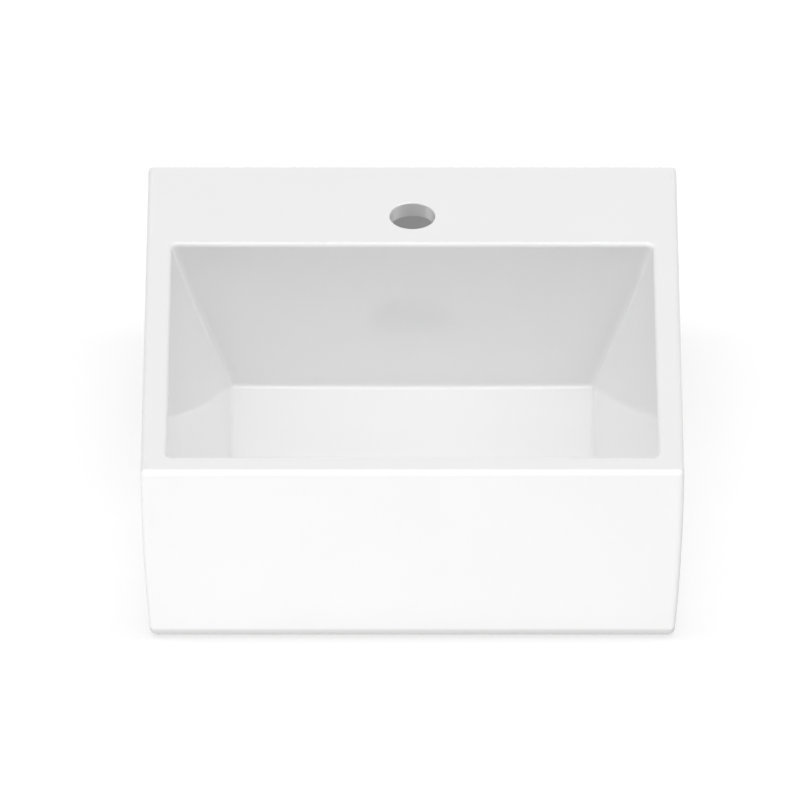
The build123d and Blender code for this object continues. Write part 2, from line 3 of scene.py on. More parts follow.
import bpy
import numpy as np
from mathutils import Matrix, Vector


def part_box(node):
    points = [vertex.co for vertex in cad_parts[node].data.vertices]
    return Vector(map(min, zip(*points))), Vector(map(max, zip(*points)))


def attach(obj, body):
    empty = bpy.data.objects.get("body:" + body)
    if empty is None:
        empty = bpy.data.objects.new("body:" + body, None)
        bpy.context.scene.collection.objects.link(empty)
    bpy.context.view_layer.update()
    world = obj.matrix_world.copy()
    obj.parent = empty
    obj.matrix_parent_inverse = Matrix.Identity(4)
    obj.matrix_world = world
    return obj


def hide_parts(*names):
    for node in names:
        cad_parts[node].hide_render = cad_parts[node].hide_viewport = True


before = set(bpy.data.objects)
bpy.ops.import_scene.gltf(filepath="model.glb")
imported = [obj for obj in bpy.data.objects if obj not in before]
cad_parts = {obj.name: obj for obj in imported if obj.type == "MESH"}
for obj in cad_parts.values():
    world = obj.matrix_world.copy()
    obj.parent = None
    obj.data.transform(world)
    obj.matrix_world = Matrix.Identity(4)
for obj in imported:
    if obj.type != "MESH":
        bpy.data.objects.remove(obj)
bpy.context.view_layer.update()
china_low, china_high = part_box("basin_body")


# The camera stands in front of the basin, in the middle, and looks down on it at the angle whose sine is
# 1 / root 3, from about 11 m away with a very long lens. The picture is 800 pixels square.
PICTURE = 800
FOCAL_PIXELS = 14243
SENSOR_MM = 36
CAMERA_DISTANCE = 10.804
AXIS_MEETS_DECK = 0.094
MIDDLE_PIXEL = 412.4
looking_down = math.asin(1 / math.sqrt(3))
aim = Vector((0, china_low.y + AXIS_MEETS_DECK, china_high.z))
away = Vector((0, -math.cos(looking_down), math.sin(looking_down)))
lens = bpy.data.cameras.new("camera")
lens.sensor_width = SENSOR_MM
lens.lens = FOCAL_PIXELS / PICTURE * SENSOR_MM
lens.shift_x = (PICTURE / 2 - MIDDLE_PIXEL) / PICTURE
lens.clip_start = 1
lens.clip_end = 40
camera = bpy.data.objects.new("camera", lens)
camera.location = aim + CAMERA_DISTANCE * away
camera.rotation_euler = (math.pi / 2 - looking_down, 0, 0)
bpy.context.collection.objects.link(camera)
bpy.context.scene.camera = camera


# The light: a pale room, a wide bright ceiling with a long strip light under it, and two low softboxes, one
# far in front and one far behind. They light the apron and the underside, and hardly reach over the rim.
AMBIENT = 0.38
STRAIGHT_DOWN = 0
TO_THE_BACK = math.pi / 2


def softbox(name, place, tilt, width, depth, watts):
    """A rectangular area lamp at a place. It shines straight down and is then tilted about X."""
    lamp = bpy.data.lights.new(name, "AREA")
    lamp.shape = "RECTANGLE"
    lamp.size = width
    lamp.size_y = depth
    lamp.energy = watts
    box = bpy.data.objects.new(name, lamp)
    box.location = place
    box.rotation_euler = (tilt, 0, 0)
    bpy.context.collection.objects.link(box)


def worked_out(tree, operation, first, second):
    """The result of a sum on two numbers, each a socket or a plain value."""
    node = tree.nodes.new("ShaderNodeMath")
    node.operation = operation
    for socket, value in zip(node.inputs, (first, second)):
        if isinstance(value, bpy.types.NodeSocket):
            tree.links.new(value, socket)
        else:
            socket.default_value = value
    return node.outputs[0]


def background_rays(tree):
    """A socket that is 1 for a ray from the camera, off a gloss or through glass, and 0 for diffuse light."""
    path = tree.nodes.new("ShaderNodeLightPath")
    seen = worked_out(tree, "MAXIMUM", path.outputs["Is Camera Ray"], path.outputs["Is Glossy Ray"])
    return worked_out(tree, "MAXIMUM", seen, path.outputs["Is Transmission Ray"])


softbox("ceiling", (0, -0.3, 2.45), STRAIGHT_DOWN, 6, 6, 23)
softbox("strip_light", (-0.15, -0.3, 2.4), STRAIGHT_DOWN, 7, 1, 49)
softbox("front_softbox", (-0.9, -5, -0.015), TO_THE_BACK, 1.2, 0.23, 127)
softbox("rear_softbox", (0.9, 5, -0.055), -TO_THE_BACK, 1.2, 0.15, 115)
room = bpy.data.worlds.new("room")
room.use_nodes = True
bpy.context.scene.world = room
tree = room.node_tree
ambient = tree.nodes["Background"]
ambient.inputs["Color"].default_value = (1, 1, 1, 1)
ambient.inputs["Strength"].default_value = AMBIENT
white = tree.nodes.new("ShaderNodeBackground")
white.inputs["Color"].default_value = (1, 1, 1, 1)
white.inputs["Strength"].default_value = 1
shown = tree.nodes.new("ShaderNodeMixShader")
tree.links.new(background_rays(tree), shown.inputs["Fac"])
tree.links.new(ambient.outputs["Background"], shown.inputs[1])
tree.links.new(white.outputs["Background"], shown.inputs[2])
tree.links.new(shown.outputs["Shader"], tree.nodes["World Output"].inputs["Surface"])


# The floor: a pale matt sheet at the foot of the basin's apron, with a round hole that the waste hangs
# through. A glow that only the camera and gloss see makes it white, and it keeps the basin's shadow.
FLOOR_REACH = 30
HOLE_RADIUS = 0.036
FLOOR_GREY = 0.5
FLOOR_GLOW = 0.6


def full_turn(steps):
    """The angles that divide a full turn into so many equal steps, from 0 on."""
    return np.arange(steps) * 2 * np.pi / steps


def ring_faces(rows, turns, closed):
    """The quads of a grid of rows by turns that closes on itself round each row, and from last row to first
    when closed is set."""
    index = np.arange(rows * turns).reshape(rows, turns)
    if closed:
        index = np.vstack([index, index[:1]])
    beside = np.roll(index, -1, axis=1)
    return np.stack([index[:-1], index[1:], beside[1:], beside[:-1]], axis=-1)


waste_low, waste_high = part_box("waste_body")
waste_x, waste_y = (waste_low.x + waste_high.x) / 2, (waste_low.y + waste_high.y) / 2
angle = full_turn(96)
radius = np.array([HOLE_RADIUS, 0.5, 2, FLOOR_REACH])[:, None]
flat = np.broadcast_to(china_low.z, (len(radius), len(angle)))
rings = np.stack([waste_x + radius * np.cos(angle), waste_y + radius * np.sin(angle), flat], axis=-1)
faces = ring_faces(len(radius), len(angle), False).reshape(-1, 4)
floor_mesh = bpy.data.meshes.new("floor")
floor_mesh.from_pydata(rings.reshape(-1, 3).tolist(), [], faces.tolist())
floor = bpy.data.objects.new("floor", floor_mesh)
bpy.context.collection.objects.link(floor)
paint = bpy.data.materials.new("floor_paint")
paint.use_nodes = True
tree = paint.node_tree
matt = tree.nodes["Principled BSDF"]
matt.inputs["Base Color"].default_value = (FLOOR_GREY, FLOOR_GREY, FLOOR_GREY, 1)
matt.inputs["Roughness"].default_value = 0.9
matt.inputs["Specular IOR Level"].default_value = 0.1
glow = tree.nodes.new("ShaderNodeEmission")
both = tree.nodes.new("ShaderNodeAddShader")
tree.links.new(worked_out(tree, "MULTIPLY", background_rays(tree), FLOOR_GLOW), glow.inputs["Strength"])
tree.links.new(matt.outputs["BSDF"], both.inputs[0])
tree.links.new(glow.outputs["Emission"], both.inputs[1])
tree.links.new(both.outputs["Shader"], tree.nodes["Material Output"].inputs["Surface"])
floor.data.materials.append(paint)


# The basin: vitreous china, slip-cast in one piece in a plaster mould, glazed white and fired. The glaze is
# wiped off where the piece stands in the kiln and where it meets the wall and the worktop. Along the foot
# of the apron a darker band of painted shade stands for the shade on the foot's rounding.
GLAZE_IOR = 1.8
GLAZE_GLOSS, BARE_DULL = (0.01, 0.035), 0.8
RIPPLE_DEPTH, BARE_GRAIN = 0.00001, 4
GLAZE_PATCHES = (0.905, 0.905, 0.905), (0.918, 0.918, 0.918)
# Painted shade: the darker colour along the foot of the apron, standing in for the shade on its rounding.
FOOT_SHADE_COLOUR = (0.70, 0.70, 0.695)
FIRED_BODY = (0.74, 0.715, 0.67)
# The painted shade along the foot is full up to the first height above the foot and gone from the second.
SHADE_FULL_UP_TO, SHADE_GONE_FROM = 0.008, 0.0105
FOOT_WITHIN, SEAT_WITHIN, WALL_WITHIN = 0.0008, 0.0004, 0.0004
FACING_DOWN = -0.97


def finish(name, metallic, roughness):
    """A new material with its shader: how metallic and how rough it is all over."""
    material = bpy.data.materials.new(name)
    material.use_nodes = True
    shader = material.node_tree.nodes["Principled BSDF"]
    shader.inputs["Metallic"].default_value = metallic
    shader.inputs["Roughness"].default_value = roughness
    return material, material.node_tree, shader


def ranged(tree, value, low, high, to_low, to_high):
    """Carries a value from one range to another in a straight line, and holds it at the ends."""
    node = tree.nodes.new("ShaderNodeMapRange")
    tree.links.new(value, node.inputs["Value"])
    for name, number in zip(("From Min", "From Max", "To Min", "To Max"), (low, high, to_low, to_high)):
        node.inputs[name].default_value = number
    return node.outputs["Result"]


def clouds(tree, scale, detail=2):
    """Cloudy noise through the piece, from about 0 to 1, with a patch every 1 / scale metres or so."""
    place = tree.nodes.new("ShaderNodeTexCoord")
    noise = tree.nodes.new("ShaderNodeTexNoise")
    noise.inputs["Scale"].default_value = scale
    noise.inputs["Detail"].default_value = detail
    tree.links.new(place.outputs["Object"], noise.inputs["Vector"])
    return ranged(tree, noise.outputs["Fac"], 0.3, 0.7, 0, 1)


def tinted(tree, share, plain, tint):
    """A colour that goes from plain to tint as the share goes from 0 to 1. Plain may be a socket."""
    node = tree.nodes.new("ShaderNodeMix")
    node.data_type = "RGBA"
    tree.links.new(share, node.inputs["Factor"])
    if isinstance(plain, bpy.types.NodeSocket):
        tree.links.new(plain, node.inputs["A"])
    else:
        node.inputs["A"].default_value = (*plain, 1)
    node.inputs["B"].default_value = (*tint, 1)
    return node.outputs["Result"]


def embossed(tree, shader, height, depth):
    """Raises the shader's surface by a height from 0 to 1 over a depth in metres."""
    bump = tree.nodes.new("ShaderNodeBump")
    bump.inputs["Strength"].default_value = 1
    bump.inputs["Distance"].default_value = depth
    tree.links.new(height, bump.inputs["Height"])
    tree.links.new(bump.outputs["Normal"], shader.inputs["Normal"])


def glazed_china(foot_z):
    """White glaze with a faint ripple, painted shade along the foot, and the rough fired body where it is
    bare.

    It is bare where the surface faces down at the foot's level or at the seat's, Z = 0, and where it lies
    in the wall's plane, Y = 0. The painted shade along the foot falls from 1 to 0 with the height above the
    foot.
    """
    china, tree, shader = finish("glazed_china", 0, 0.04)
    shader.inputs["IOR"].default_value = GLAZE_IOR
    facing = tree.nodes.new("ShaderNodeNewGeometry")
    normal = tree.nodes.new("ShaderNodeSeparateXYZ")
    tree.links.new(facing.outputs["True Normal"], normal.inputs[0])
    place = tree.nodes.new("ShaderNodeTexCoord")
    point = tree.nodes.new("ShaderNodeSeparateXYZ")
    tree.links.new(place.outputs["Object"], point.inputs[0])
    down = worked_out(tree, "LESS_THAN", normal.outputs["Z"], FACING_DOWN)
    at_foot = worked_out(tree, "LESS_THAN", point.outputs["Z"], foot_z + FOOT_WITHIN)
    level = worked_out(tree, "ABSOLUTE", point.outputs["Z"], 0)
    at_seat = worked_out(tree, "LESS_THAN", level, SEAT_WITHIN)
    under = worked_out(tree, "MULTIPLY", down, worked_out(tree, "MAXIMUM", at_foot, at_seat))
    at_wall = worked_out(tree, "GREATER_THAN", point.outputs["Y"], -WALL_WITHIN)
    bare = worked_out(tree, "MAXIMUM", under, at_wall)
    # Painted shade: a darker band on the glaze along the foot, fading out with the height above it.
    foot_shade = ranged(tree, point.outputs["Z"], foot_z + SHADE_FULL_UP_TO, foot_z + SHADE_GONE_FROM, 1, 0)
    glaze = tinted(tree, clouds(tree, 9), *GLAZE_PATCHES)
    glaze = tinted(tree, foot_shade, glaze, FOOT_SHADE_COLOUR)
    tree.links.new(tinted(tree, bare, glaze, FIRED_BODY), shader.inputs["Base Color"])
    gloss = ranged(tree, clouds(tree, 30), 0, 1, *GLAZE_GLOSS)
    dull = ranged(tree, bare, 0, 1, 0, BARE_DULL)
    tree.links.new(worked_out(tree, "MAXIMUM", gloss, dull), shader.inputs["Roughness"])
    grain = worked_out(tree, "MULTIPLY", clouds(tree, 2500, 1), ranged(tree, bare, 0, 1, 0, BARE_GRAIN))
    ripple = worked_out(tree, "ADD", clouds(tree, 45, 1), grain)
    embossed(tree, shader, ripple, RIPPLE_DEPTH)
    return china


def dress(node, material):
    """Gives a CAD node this material alone."""
    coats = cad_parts[node].data.materials
    coats.clear()
    coats.append(material)


dress("basin_body", glazed_china(china_low.z))


# The overflow ring: a turned brass ring, chrome plated, pushed into the hole in the bowl's front wall. Its
# lip is rounded and lies on the glaze. Sizes in a piece's outline are in millimetres from here on.
OVERFLOW_BELOW_DECK = 0.038
BOWL_FRONT_Y = -0.390
WALL_LEAN = 24 / 127
RING_BORE, RING_TUBE, RING_LIP = 9, 10.8, 15.5
LIP_TOP, TUBE_END = 1.6, -7


def eased(corners, closed=True, steps=5):
    """The outline through a list of corners (radius, height, ease), as an array of (radius, height).

    Each corner becomes an arc that touches both of its sides: it starts and ends ease / tan(half the angle)
    from the corner, and between them swings the line from its centre evenly from one end to the other. An
    open outline keeps its first and last corners as they are.
    """
    corners = np.asarray(corners, float)
    point = corners[:, :2]
    ease = np.maximum(corners[:, 2:], 0.02)
    back = np.roll(point, 1, axis=0) - point
    on = np.roll(point, -1, axis=0) - point
    back /= np.linalg.norm(back, axis=1, keepdims=True)
    on /= np.linalg.norm(on, axis=1, keepdims=True)
    half = np.arccos(np.clip((back * on).sum(axis=1, keepdims=True), -1, 1)) / 2
    middle = back + on
    middle /= np.linalg.norm(middle, axis=1, keepdims=True)
    centre = point + middle * ease / np.sin(half)
    start = point + back * ease / np.tan(half) - centre
    end = point + on * ease / np.tan(half) - centre
    share = np.linspace(0, 1, steps)[None, :, None]
    swing = (np.pi - 2 * half)[:, None]
    arc = np.sin((1 - share) * swing) * start[:, None] + np.sin(share * swing) * end[:, None]
    arc = centre[:, None] + arc / np.sin(swing)
    if closed:
        return arc.reshape(-1, 2)
    return np.vstack([point[:1], arc[1:-1].reshape(-1, 2), point[-1:]])


def round_axis(centre, along, across):
    """Gives a function that places points round an axis, in metres, from sizes in millimetres.

    A point of radius r, height h and angle a is centre + r cos(a) across + r sin(a) beside + h along, where
    beside is square to the other two. It takes whole arrays.
    """
    centre, along, across = np.array(centre), np.array(along, float), np.array(across, float)
    beside = np.cross(along, across)

    def placed(radius, height, angle):
        radius, height, angle = np.broadcast_arrays(radius, height, angle)
        round_it = np.cos(angle)[..., None] * across + np.sin(angle)[..., None] * beside
        return centre + 0.001 * (radius[..., None] * round_it + height[..., None] * along)

    return placed


def closed_ring(points):
    """The points and quads of a grid of rows by turns that closes round each row and from last to first."""
    return points.reshape(-1, 3), ring_faces(*points.shape[:2], True).reshape(-1, 4).tolist()


def turned_ring(placed, outline, turns=96):
    """A ring turned from a closed outline: every point of it goes round the axis."""
    return closed_ring(placed(outline[:, :1], outline[:, 1:], full_turn(turns)))


def solid(name, parts, material, crisp=30):
    """One smooth-shaded object out of a list of (points, faces), with edges over crisp degrees left sharp."""
    mesh = bpy.data.meshes.new(name)
    starts = np.cumsum([0] + [len(points) for points, _ in parts]).tolist()
    faces = [[corner + start for corner in face] for start, (_, part) in zip(starts, parts) for face in part]
    mesh.from_pydata(np.vstack([points for points, _ in parts]).tolist(), [], faces)
    mesh.shade_smooth()
    mesh.set_sharp_from_angle(angle=math.radians(crisp))
    mesh.materials.append(material)
    piece = bpy.data.objects.new(name, mesh)
    bpy.context.collection.objects.link(piece)
    return piece


def patchy(tree, shader, scale, plain, tint, detail=2):
    """Colours the shader in cloudy patches that go from plain to tint."""
    tree.links.new(tinted(tree, clouds(tree, scale, detail), plain, tint), shader.inputs["Base Color"])


def uneven(tree, shader, scale, low, high, detail=2):
    """Lets the shader's roughness wander between low and high in cloudy patches."""
    tree.links.new(ranged(tree, clouds(tree, scale, detail), 0, 1, low, high), shader.inputs["Roughness"])


def polished_chrome():
    """Bright chrome plate: slightly uneven gloss, with faint wiping marks."""
    chrome, tree, shader = finish("polished_chrome", 1, 0.07)
    patchy(tree, shader, 60, (0.80, 0.81, 0.82), (0.74, 0.75, 0.77))
    uneven(tree, shader, 140, 0.05, 0.13, 4)
    embossed(tree, shader, clouds(tree, 400), 0.000002)
    return chrome


chrome = polished_chrome()
lean = math.atan(WALL_LEAN)
overflow_centre = (0, BOWL_FRONT_Y + WALL_LEAN * OVERFLOW_BELOW_DECK, china_high.z - OVERFLOW_BELOW_DECK)
overflow_place = round_axis(overflow_centre, (0, math.cos(lean), math.sin(lean)), (1, 0, 0))
overflow_outline = eased([(RING_BORE, LIP_TOP, 0.7), (RING_LIP, LIP_TOP, 0.9), (RING_LIP, 0, 0),
                          (RING_TUBE, 0, 0), (RING_TUBE, TUBE_END, 0.3), (RING_BORE, TUBE_END, 0.3)])
overflow = solid("overflow_trim", [turned_ring(overflow_place, overflow_outline)], chrome)
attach(overflow, "basin")
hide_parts("overflow_ring")


# The flange seal: a flat washer cut from soft white foam rubber. It lies round the hole in the bowl's
# floor, squeezed between the flange of the waste and the china.
def foam_rubber():
    """White closed-cell rubber: matt, with small cells in its cut edge."""
    foam, tree, shader = finish("foam_rubber", 0, 0.85)
    patchy(tree, shader, 90, (0.82, 0.82, 0.80), (0.76, 0.76, 0.73))
    place = tree.nodes.new("ShaderNodeTexCoord")
    cells = tree.nodes.new("ShaderNodeTexVoronoi")
    cells.inputs["Scale"].default_value = 1800
    tree.links.new(place.outputs["Object"], cells.inputs["Vector"])
    embossed(tree, shader, cells.outputs["Distance"], 0.0001)
    return foam


dress("flange_seal", foam_rubber())


# The waste body: brass, turned from the solid and chrome plated. A flange with a conical mouth, a tail with
# a 1 1/4 inch pipe thread, four slots for the overflow's water and a spider of three arms inside. Heights
# are from the flange's top, here and in the pieces that hang on the tail.
THREAD_PITCH = 25.4 / 11
THREAD_MIDDLE, THREAD_HALF_DEPTH = 20.215, 0.74
THREAD_TOP, TAIL_END = -3, -78.5
TAIL_RADIUS, TAIL_BORE = 20.2, 18
FLANGE_RADIUS, FLANGE_FOOT = 32, -2.5
MOUTH_RADIUS, THROAT_RADIUS, THROAT_TOP, THROAT_FOOT = 22, 17, -5, -8
SLOT_TOP, SLOT_FOOT, SLOT_ROWS = -9, -21, 53
HALF_SLOT = math.asin(4.5 / 19.5)
SLOTS, SLOT_STEPS, BAR_STEPS = 4, 6, 16
HUB_BORE, HUB_RADIUS, HUB_TOP, HUB_FOOT = 10.05, 13.05, -36.5, -44.5
ARM_FROM, ARM_TO, ARM_MIDDLE = 11.5, 18.6, -40.5
waste_place = round_axis((waste_x, waste_y, waste_high.z), (0, 0, 1), (1, 0, 0))


def pipe_thread(height, angle):
    """The thread's radius: a middle radius and a cosine wave that climbs one pitch a turn, fading out over
    one pitch at each end."""
    fade = np.clip(np.minimum(THREAD_TOP - height, height - TAIL_END) / THREAD_PITCH, 0, 1)
    return THREAD_MIDDLE + THREAD_HALF_DEPTH * fade * np.cos(2 * np.pi * height / THREAD_PITCH - angle)


def slotted_tail():
    """The flange, the mouth, the threaded tail and its bore as one closed surface with four slots in it.

    The outline goes out over the flange, down the thread, and back up the bore. Where the slots are, the
    rows of thread and bore lie at the same heights, so that the cells inside a slot can be left out and its
    four sides closed with quads from the thread's row to the bore's.
    """
    steps = 5
    line = eased([
        (MOUTH_RADIUS, 0, 0.25), (FLANGE_RADIUS, 0, 1), (FLANGE_RADIUS, FLANGE_FOOT, 0.15),
        (TAIL_RADIUS, FLANGE_FOOT, 0.3), (TAIL_RADIUS, TAIL_END, 0.9), (TAIL_BORE, TAIL_END, 0.3),
        (TAIL_BORE, THROAT_FOOT, 0.2), (THROAT_RADIUS, THROAT_FOOT, 0.2), (THROAT_RADIUS, THROAT_TOP, 1),
    ], steps=steps)
    # Four corners lie over and under the flange, two at the tail's end and three in the mouth.
    over, under, mouth = np.split(line, [4 * steps, 6 * steps])
    slot_rows = np.linspace(SLOT_TOP, SLOT_FOOT, SLOT_ROWS)
    above = np.linspace(-4, SLOT_TOP, 22)[:-1]
    below = np.linspace(SLOT_FOOT, TAIL_END + 1.2, 244)[1:]
    bore_below = [-70, -60, -50, -44, -36, -28]
    thread = np.concatenate([above, slot_rows, below])
    height = np.concatenate([over[:, 1], thread, under[:, 1], bore_below, slot_rows[::-1], mouth[:, 1]])
    first_thread = len(over)
    first_bore = len(over) + len(thread) + len(under)
    first_mouth = len(height) - len(mouth)
    quarter = np.concatenate([np.linspace(-HALF_SLOT, HALF_SLOT, SLOT_STEPS + 1)[:-1],
                              np.linspace(HALF_SLOT, np.pi / 2 - HALF_SLOT, BAR_STEPS + 1)[:-1]])
    angle = (quarter + np.pi / 2 * np.arange(SLOTS)[:, None]).ravel()
    rows, turns = len(height), len(angle)
    radius = np.full((rows, turns), float(TAIL_BORE))
    radius[:first_thread] = over[:, :1]
    radius[first_thread:first_thread + len(thread)] = pipe_thread(thread[:, None], angle)
    radius[first_bore - len(under):first_bore] = under[:, :1]
    radius[first_mouth:] = mouth[:, :1]
    points = waste_place(radius, height[:, None], angle)

    first_outer = first_thread + len(above)
    first_inner = first_bore + len(bore_below)
    index = np.arange(rows * turns).reshape(rows, turns)
    outer = index[first_outer:first_outer + SLOT_ROWS]
    inner = index[first_inner:first_inner + SLOT_ROWS][::-1]
    in_slot = np.arange(turns) % len(quarter) < SLOT_STEPS
    kept = np.ones((rows, turns), bool)
    kept[first_outer:first_outer + SLOT_ROWS - 1, in_slot] = False
    kept[first_inner:first_inner + SLOT_ROWS - 1, in_slot] = False
    left = np.arange(SLOTS) * len(quarter)
    right = left + SLOT_STEPS
    across = np.flatnonzero(in_slot)
    sides = [
        (outer[:-1, left], outer[1:, left], inner[1:, left], inner[:-1, left]),
        (outer[:-1, right], inner[:-1, right], inner[1:, right], outer[1:, right]),
        (outer[0, across], inner[0, across], inner[0, across + 1], outer[0, across + 1]),
        (outer[-1, across], outer[-1, across + 1], inner[-1, across + 1], inner[-1, across]),
    ]
    sides = [np.stack(side, axis=-1).reshape(-1, 4) for side in sides]
    quads = np.vstack([ring_faces(rows, turns, True)[kept]] + sides)
    return points.reshape(-1, 3), quads.tolist()


def spider_arm(angle):
    """One arm of the spider: an upright oblong with rounded edges, carried out from the hub into the tail.

    Its half width goes round as 1.6 x the 0.3rd power of a cosine + 0.4 x the cosine, and its half height
    as 3.6 and 0.4 times the same of the sine, where the power keeps the sign.
    """
    reach = np.linspace(ARM_FROM, ARM_TO, 4)
    turn = full_turn(32)
    wide = 1.6 * np.sign(np.cos(turn)) * np.abs(np.cos(turn)) ** 0.3 + 0.4 * np.cos(turn)
    tall = ARM_MIDDLE + 3.6 * np.sign(np.sin(turn)) * np.abs(np.sin(turn)) ** 0.3 + 0.4 * np.sin(turn)
    radius = np.hypot(reach[:, None], wide)
    points = waste_place(radius, tall, angle + np.arctan2(wide, reach[:, None]))
    index = np.arange(radius.size).reshape(radius.shape)
    ends = [index[0, ::-1].tolist(), index[-1].tolist()]
    faces = ring_faces(*radius.shape, False)[..., ::-1].reshape(-1, 4).tolist()
    return points.reshape(-1, 3), faces + ends


hub_outline = eased([(HUB_BORE, HUB_TOP, 0.2), (HUB_RADIUS, HUB_TOP, 0.4), (HUB_RADIUS, HUB_FOOT, 0.4),
                     (HUB_BORE, HUB_FOOT, 0.2)])
waste_parts = [slotted_tail(), turned_ring(waste_place, hub_outline)]
waste_parts += [spider_arm(math.radians(90 + 120 * arm)) for arm in range(3)]
waste = solid("waste_fitting", waste_parts, chrome, 62)
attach(waste, "basin")
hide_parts("waste_body")


# The boss seal: a thick moulded rubber washer with a nose that centres the tail in the china's hole. A hard
# nylon washer and a brass back nut press it up against the boss.
ROUND_TAIL = 21.005
NOSE_TOP, BOSS_FACE, SEAL_FOOT, SLIP_FOOT, NUT_FOOT = -21, -24, -28, -30, -39
NUT_FLATS, NUT_BORE = 54, 20.265


def moulded_rubber():
    """Black rubber: matt, dusty in patches, with the fine grain of its mould."""
    rubber, tree, shader = finish("moulded_rubber", 0, 0.65)
    patchy(tree, shader, 120, (0.035, 0.035, 0.036), (0.075, 0.074, 0.072), 4)
    uneven(tree, shader, 200, 0.5, 0.75, 3)
    embossed(tree, shader, clouds(tree, 3000, 1), 0.00002)
    return rubber


def moulded_nylon():
    """Off-white nylon: a soft sheen, and faint flow marks from the mould."""
    nylon, tree, shader = finish("moulded_nylon", 0, 0.4)
    patchy(tree, shader, 70, (0.86, 0.86, 0.83), (0.80, 0.80, 0.76))
    uneven(tree, shader, 300, 0.32, 0.5, 3)
    embossed(tree, shader, clouds(tree, 900), 0.00001)
    return nylon


def turned_brass():
    """Raw brass: warm, a little tarnished in patches, with the lathe's fine rings round the waste's axis."""
    brass, tree, shader = finish("turned_brass", 1, 0.3)
    patchy(tree, shader, 80, (0.78, 0.62, 0.30), (0.60, 0.44, 0.19), 4)
    uneven(tree, shader, 250, 0.2, 0.42, 4)
    place = tree.nodes.new("ShaderNodeTexCoord")
    centred = tree.nodes.new("ShaderNodeMapping")
    centred.inputs["Location"].default_value = (-waste_x, -waste_y, 0)
    tree.links.new(place.outputs["Object"], centred.inputs["Vector"])
    rings = tree.nodes.new("ShaderNodeTexWave")
    rings.wave_type = "RINGS"
    rings.rings_direction = "SPHERICAL"
    rings.inputs["Scale"].default_value = 500
    rings.inputs["Distortion"].default_value = 1.5
    tree.links.new(centred.outputs["Vector"], rings.inputs["Vector"])
    embossed(tree, shader, rings.outputs["Fac"], 0.000006)
    return brass


def hexagon_nut(placed, across_flats, top, foot, bore, corner_cut):
    """A chamfered nut: the outline goes out over the top, down the side, in under the foot and up the bore.

    The side's radius is the hexagon's, half the width over flats / cos of the angle from the middle of the
    flat, or less where the corners are cut off upright. A cone leaves each face at 30 degrees and meets the
    side at a depth of (side radius - face radius) x tan 30, which makes the curved edge on every flat.
    """
    angle = full_turn(144)
    flat = across_flats / 2
    side = flat / np.cos(np.mod(angle, np.pi / 3) - np.pi / 6)
    side = np.minimum(side, flat / math.cos(math.pi / 6) - corner_cut)
    face = 0.96 * flat
    depth = (side - face) * math.tan(math.radians(30))
    lead = 0.6
    rows = [(bore, top - lead), (bore + lead, top), (face, top), (side, top - depth), (side, foot + depth),
            (face, foot), (bore + lead, foot), (bore, foot + lead)]
    radius, height = (np.stack([size + 0 * angle for size in column]) for column in zip(*rows))
    return closed_ring(placed(radius, height, angle))


rubber = moulded_rubber()
nylon = moulded_nylon()
brass = turned_brass()
seal_outline = eased([(ROUND_TAIL, NOSE_TOP, 0.3), (22.2, NOSE_TOP, 0.3), (22.7, BOSS_FACE, 0),
                      (31, BOSS_FACE, 0.8), (31, SEAL_FOOT, 0.5), (ROUND_TAIL, SEAL_FOOT, 0.2)])
under_boss = solid("boss_washer", [turned_ring(waste_place, seal_outline)], rubber)
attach(under_boss, "basin")
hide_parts("boss_seal")
slip_outline = eased([(ROUND_TAIL, SEAL_FOOT, 0.2), (30, SEAL_FOOT, 0.4), (30, SLIP_FOOT, 0.4),
                      (ROUND_TAIL, SLIP_FOOT, 0.2)])
slip = solid("nylon_washer", [turned_ring(waste_place, slip_outline)], nylon)
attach(slip, "basin")
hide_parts("slip_washer")
nut_part = hexagon_nut(waste_place, NUT_FLATS, SLIP_FOOT, NUT_FOOT, NUT_BORE, 0.8)
nut = solid("brass_back_nut", [nut_part], brass)
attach(nut, "basin")
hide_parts("back_nut")


# The click cartridge: a brass cup screwed down on the spider by its knurled collar, closed by a screwed
# lid. Inside are the plunger, the ratchet ring and the spring that lifts them.
CUP_BORE, CUP_RADIUS, CUP_TOP, CUP_FOOT = 8, 10, -16.5, -50.5
COLLAR_TOP = -34.5
DRAIN_RADIUS, CUP_FLOOR = 2, -47.5
NOTCHES, NOTCH_DEPTH = 72, 0.3


def knurled_cup():
    """The cup's outline turned round the axis. On the collar's edge the radius falls by 0.3 mm in 72
    notches, as 1 - the absolute value of a sine."""
    line = eased([
        (CUP_BORE, CUP_TOP, 0.3), (CUP_RADIUS, CUP_TOP, 0.4), (CUP_RADIUS, COLLAR_TOP, 0.2),
        (HUB_RADIUS, COLLAR_TOP, 0.3), (HUB_RADIUS, HUB_TOP, 0.3), (CUP_RADIUS, HUB_TOP, 0.2),
        (CUP_RADIUS, CUP_FOOT, 0.8), (DRAIN_RADIUS, CUP_FOOT, 0.3), (DRAIN_RADIUS, CUP_FLOOR, 0.3),
        (CUP_BORE, CUP_FLOOR, 0.5),
    ])
    angle = full_turn(4 * NOTCHES)
    notch = NOTCH_DEPTH * (1 - np.abs(np.sin(NOTCHES / 2 * angle)))
    on_edge = line[:, :1] > HUB_RADIUS - 0.55
    return closed_ring(waste_place(line[:, :1] - on_edge * notch, line[:, 1:], angle))


def moulded_acetal():
    """Grey acetal: smooth and waxy, with faint clouding."""
    acetal, tree, shader = finish("moulded_acetal", 0, 0.35)
    patchy(tree, shader, 300, (0.35, 0.36, 0.38), (0.30, 0.31, 0.33))
    embossed(tree, shader, clouds(tree, 1500, 1), 0.000008)
    return acetal


def drawn_wire():
    """Stainless spring wire: a grey metal with fine draw marks."""
    wire, tree, shader = finish("drawn_wire", 1, 0.3)
    patchy(tree, shader, 500, (0.62, 0.62, 0.63), (0.50, 0.50, 0.52), 3)
    uneven(tree, shader, 1500, 0.22, 0.4)
    return wire


